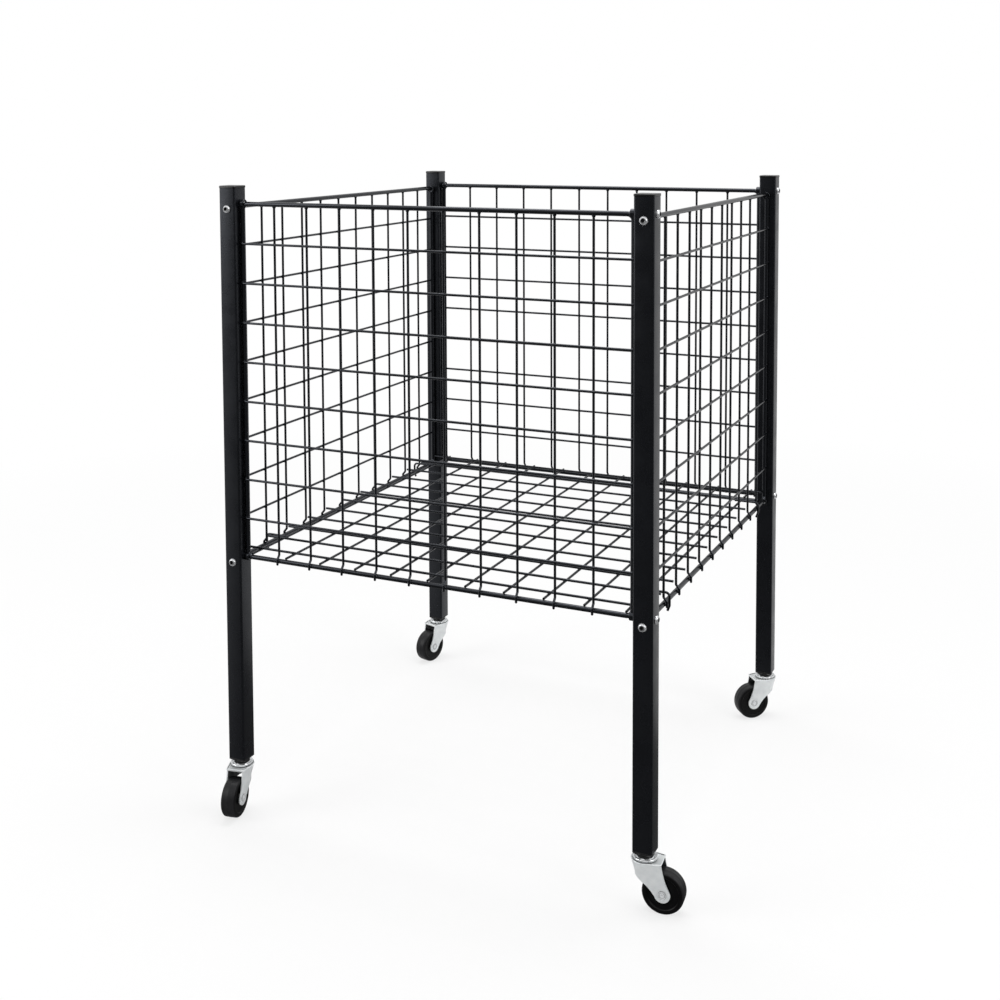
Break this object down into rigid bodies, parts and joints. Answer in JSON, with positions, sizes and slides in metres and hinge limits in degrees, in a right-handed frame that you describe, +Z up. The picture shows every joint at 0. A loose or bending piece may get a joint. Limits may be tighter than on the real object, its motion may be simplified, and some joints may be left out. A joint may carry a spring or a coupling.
{
  "type": "retail dump bin",
  "caption": "Open-topped square wire-mesh bin with a raised wire floor, on tall square-tube legs with swivel casters, for loose shop goods.",
  "frame": {"origin": "on the ground under the middle of the bin, where the four casters stand", "axes": "+Z up, the front panel faces -Y, the right panel faces +X"},
  "size_m": [0.6454, 0.6408, 0.845],
  "materials": {
    "black_powder_coat": "satin black powder coat on steel",
    "black_plastic": "matte moulded black polyethylene",
    "zinc_plated_screws": "bright zinc plating",
    "zinc_plated_steel": "pale blue zinc plating on pressed steel",
    "bearing_steel": "polished",
    "hard_rubber": "satin hard black rubber",
    "nylon": "moulded black nylon"
  },
  "bodies": {
    "bin": {"front_panel": "black_powder_coat", "front_panel_screws": "zinc_plated_screws", "right_panel": "black_powder_coat", "right_panel_screws": "zinc_plated_screws", "rear_panel": "black_powder_coat", "rear_panel_screws": "zinc_plated_screws", "left_panel": "black_powder_coat", "left_panel_screws": "zinc_plated_screws", "base_shelf": "black_powder_coat", "front_left_post": "black_powder_coat", "front_left_post_cap": "black_plastic", "front_left_caster_socket": "black_plastic", "front_left_caster_stem": "zinc_plated_steel", "front_right_post": "black_powder_coat", "front_right_post_cap": "black_plastic", "front_right_caster_socket": "black_plastic", "front_right_caster_stem": "zinc_plated_steel", "rear_right_post": "black_powder_coat", "rear_right_post_cap": "black_plastic", "rear_right_caster_socket": "black_plastic", "rear_right_caster_stem": "zinc_plated_steel", "rear_left_post": "black_powder_coat", "rear_left_post_cap": "black_plastic", "rear_left_caster_socket": "black_plastic", "rear_left_caster_stem": "zinc_plated_steel"},
    "front_left_swivel": {"front_left_caster_fork": "zinc_plated_steel", "front_left_axle_rivet": "zinc_plated_steel", "front_left_swivel_balls": "bearing_steel"},
    "front_left_wheel_set": {"front_left_wheel": "hard_rubber", "front_left_wheel_bush": "nylon"},
    "front_right_swivel": {"front_right_caster_fork": "zinc_plated_steel", "front_right_axle_rivet": "zinc_plated_steel", "front_right_swivel_balls": "bearing_steel"},
    "front_right_wheel_set": {"front_right_wheel": "hard_rubber", "front_right_wheel_bush": "nylon"},
    "rear_right_swivel": {"rear_right_caster_fork": "zinc_plated_steel", "rear_right_axle_rivet": "zinc_plated_steel", "rear_right_swivel_balls": "bearing_steel"},
    "rear_right_wheel_set": {"rear_right_wheel": "hard_rubber", "rear_right_wheel_bush": "nylon"},
    "rear_left_swivel": {"rear_left_caster_fork": "zinc_plated_steel", "rear_left_axle_rivet": "zinc_plated_steel", "rear_left_swivel_balls": "bearing_steel"},
    "rear_left_wheel_set": {"rear_left_wheel": "hard_rubber", "rear_left_wheel_bush": "nylon"}
  },
  "joints": [
    {"name": "front_left_swivel_turn", "type": "hinge", "parent": "bin", "child": "front_left_swivel", "pos_m": [-0.2875, -0.2875, 0.06], "axis": [0, 0, 1], "continuous": true},
    {"name": "front_left_wheel_roll", "type": "hinge", "parent": "front_left_swivel", "child": "front_left_wheel_set", "pos_m": [-0.28327, -0.31011, 0.0255], "axis": [0.9829, 0.184, 0], "continuous": true},
    {"name": "front_right_swivel_turn", "type": "hinge", "parent": "bin", "child": "front_right_swivel", "pos_m": [0.2875, -0.2875, 0.06], "axis": [0, 0, 1], "continuous": true},
    {"name": "front_right_wheel_roll", "type": "hinge", "parent": "front_right_swivel", "child": "front_right_wheel_set", "pos_m": [0.31039, -0.28526, 0.0255], "axis": [-0.0976, 0.9952, 0], "continuous": true},
    {"name": "rear_right_swivel_turn", "type": "hinge", "parent": "bin", "child": "rear_right_swivel", "pos_m": [0.2875, 0.2875, 0.06], "axis": [0, 0, 1], "continuous": true},
    {"name": "rear_right_wheel_roll", "type": "hinge", "parent": "rear_right_swivel", "child": "rear_right_wheel_set", "pos_m": [0.26986, 0.27275, 0.0255], "axis": [0.6414, -0.7672, 0], "continuous": true},
    {"name": "rear_left_swivel_turn", "type": "hinge", "parent": "bin", "child": "rear_left_swivel", "pos_m": [-0.2875, 0.2875, 0.06], "axis": [0, 0, 1], "continuous": true},
    {"name": "rear_left_wheel_roll", "type": "hinge", "parent": "rear_left_swivel", "child": "rear_left_wheel_set", "pos_m": [-0.29369, 0.26535, 0.0255], "axis": [0.9632, -0.2689, 0], "continuous": true}
  ]
}
